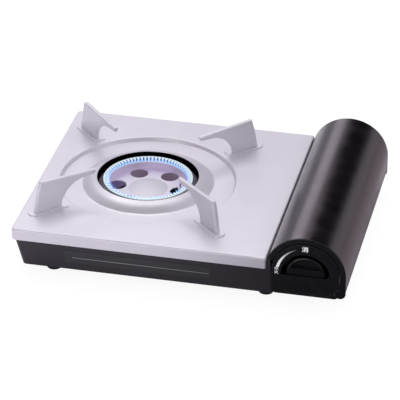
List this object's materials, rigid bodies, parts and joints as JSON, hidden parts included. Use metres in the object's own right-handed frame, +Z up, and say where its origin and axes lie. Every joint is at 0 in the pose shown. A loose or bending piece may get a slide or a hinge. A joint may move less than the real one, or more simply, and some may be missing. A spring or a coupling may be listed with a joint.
{
  "type": "butane cassette stove",
  "caption": "Tabletop gas stove with a round burner under folded pan supports and a hinged cartridge cover with a rotary igniter knob.",
  "frame": {"origin": "on the table, under the middle of the stove's width and depth", "axes": "+X to the cartridge bay, +Y to the back, +Z up"},
  "size_m": [0.342, 0.264, 0.0863],
  "materials": {
    "plate_paint": "pale lavender-silver baked enamel, satin",
    "support_paint": "pale silver enamel over folded sheet, satin",
    "case_paint": "charcoal powder coat, fine texture",
    "strip_foil": "bare dark satin strip with a thin silver line",
    "foot_rubber": "black moulded rubber",
    "plated_steel": "zinc-plated sheet",
    "screw_steel": "bright zinc plate",
    "bay_paint": "black paint, semi-matt",
    "cover_paint": "dark bronze-grey metallic lacquer, glossy",
    "end_plastic": "black moulding, semi-gloss",
    "knob_plastic": "black moulding, glossy",
    "nylon": "natural nylon",
    "igniter_plastic": "black glass-filled nylon",
    "cast_zinc": "die-cast, as cast",
    "magnet_ferrite": "sintered ferrite, matt",
    "can_paint": "plain white lacquer, glossy",
    "can_tinplate": "bright tinplate",
    "ring_steel": "pressed stainless steel",
    "bowl_steel": "pressed stainless steel, heat-tinted",
    "burner_black": "black heat-proof enamel",
    "tube_steel": "drawn steel tube",
    "jet_brass": "turned brass",
    "pipe_brass": "drawn tube, copper-coloured",
    "panel_aluminium": "mill finish sheet",
    "white_ceramic": "glazed alumina",
    "lead_rubber": "silicone insulation"
  },
  "bodies": {
    "base": {"top_plate": "plate_paint", "pan_support_back_right": "support_paint", "pan_support_back_left": "support_paint", "pan_support_front_left": "support_paint", "pan_support_front_right": "support_paint", "lower_case": "case_paint", "front_strip": "strip_foil", "foot_front_left": "foot_rubber", "foot_back_left": "foot_rubber", "foot_front_right": "foot_rubber", "foot_back_right": "foot_rubber", "plate_posts": "plated_steel", "case_screws": "screw_steel", "bay_tray": "bay_paint", "cartridge_cradle": "plated_steel", "hinge_rod": "screw_steel", "hinge_bracket_front": "plated_steel", "hinge_bracket_back": "plated_steel", "control_panel": "end_plastic", "piezo_igniter": "igniter_plastic", "regulator_bracket": "plated_steel", "panel_screws": "screw_steel", "regulator_body": "cast_zinc", "regulator_cap": "cast_zinc", "regulator_screws": "screw_steel", "inlet_seal": "foot_rubber", "magnet_ring": "magnet_ferrite", "cartridge_locator": "screw_steel", "burner_ring": "ring_steel", "burner_bowl": "bowl_steel", "burner_body": "burner_black", "burner_bracket": "plated_steel", "burner_screws": "screw_steel", "mixing_tube": "tube_steel", "gas_jet": "jet_brass", "jet_bracket": "plated_steel", "gas_pipe": "pipe_brass", "heat_panel": "panel_aluminium", "spark_electrode": "screw_steel", "electrode_insulator": "white_ceramic", "electrode_bracket": "plated_steel", "electrode_boot": "lead_rubber", "igniter_lead": "lead_rubber", "lead_clips": "nylon"},
    "cover": {"cover_shell": "cover_paint", "cover_bezel": "end_plastic", "cover_cap": "end_plastic", "cover_bumpers": "foot_rubber"},
    "knob": {"control_knob": "knob_plastic", "knob_spindle": "screw_steel", "igniter_cam": "nylon"},
    "plunger": {"piezo_plunger": "nylon"},
    "cartridge": {"cartridge_can": "can_paint", "cartridge_dome": "can_tinplate", "cartridge_valve": "can_tinplate"}
  },
  "joints": [
    {"name": "cover_hinge", "type": "hinge", "parent": "base", "child": "cover", "pos_m": [0.1654, 0, 0.0193], "axis": [0, 1, 0], "range_deg": [0, 95]},
    {"name": "knob_turn", "type": "hinge", "parent": "base", "child": "knob", "pos_m": [0.1301, 0, 0.0355], "axis": [0, 1, 0], "range_deg": [-8, 90]},
    {"name": "igniter_press", "type": "slide", "parent": "base", "child": "plunger", "axis": [1, 0, 0], "range_m": [-0.0005, 0.0047]},
    {"name": "cartridge_slide", "type": "slide", "parent": "base", "child": "cartridge", "axis": [0, 1, 0], "range_m": [0, 0.012]}
  ],
  "couplings": [
    {"joint": "igniter_press", "follows": "knob_turn", "m_per_rad": 0.002923}
  ]
}
